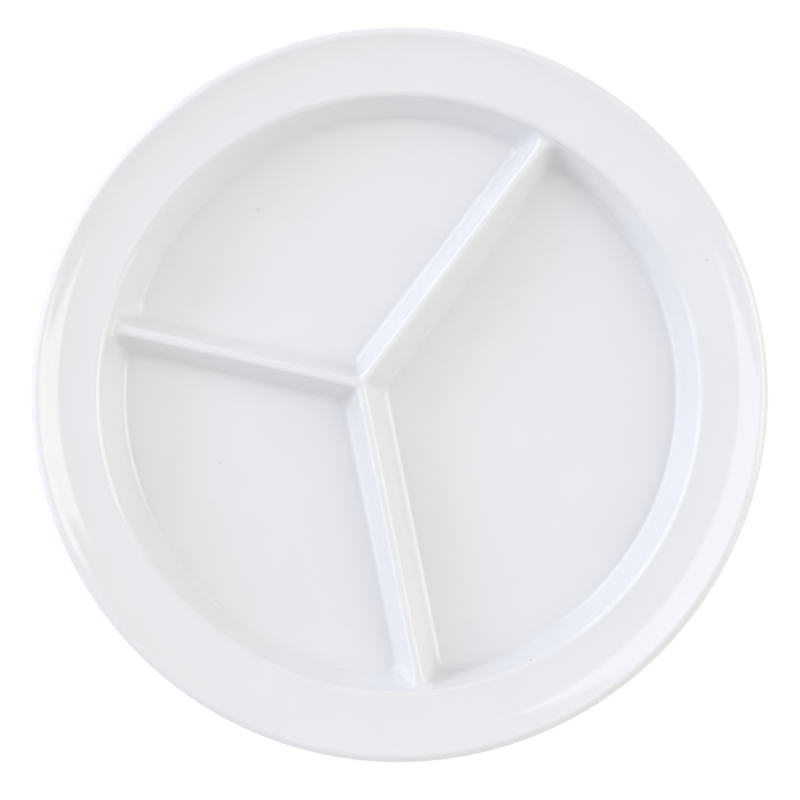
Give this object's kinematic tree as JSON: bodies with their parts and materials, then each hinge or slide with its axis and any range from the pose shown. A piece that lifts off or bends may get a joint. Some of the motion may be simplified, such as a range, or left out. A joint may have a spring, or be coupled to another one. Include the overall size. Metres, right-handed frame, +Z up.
{
  "type": "divided compartment plate",
  "caption": "Round white plate with a wide upturned rim, its well divided by drafted ribs into a main compartment and smaller side compartments for keeping foods apart.",
  "frame": {"origin": "on the table plane, under the centre of the plate", "axes": "+Z up out of the well; +X towards the middle of the main compartment, away from the middle divider"},
  "size_m": [0.26, 0.26, 0.0246],
  "materials": {
    "melamine": "glossy moulded melamine"
  },
  "bodies": {
    "root": {"rim": "melamine", "rim_lip": "melamine", "main_wall": "melamine", "right_wall": "melamine", "left_wall": "melamine", "main_floor": "melamine", "right_floor": "melamine", "left_floor": "melamine", "right_divider": "melamine", "middle_divider": "melamine", "left_divider": "melamine", "divider_hub": "melamine", "main_foot": "melamine", "right_foot": "melamine", "left_foot": "melamine"}
  },
  "joints": []
}
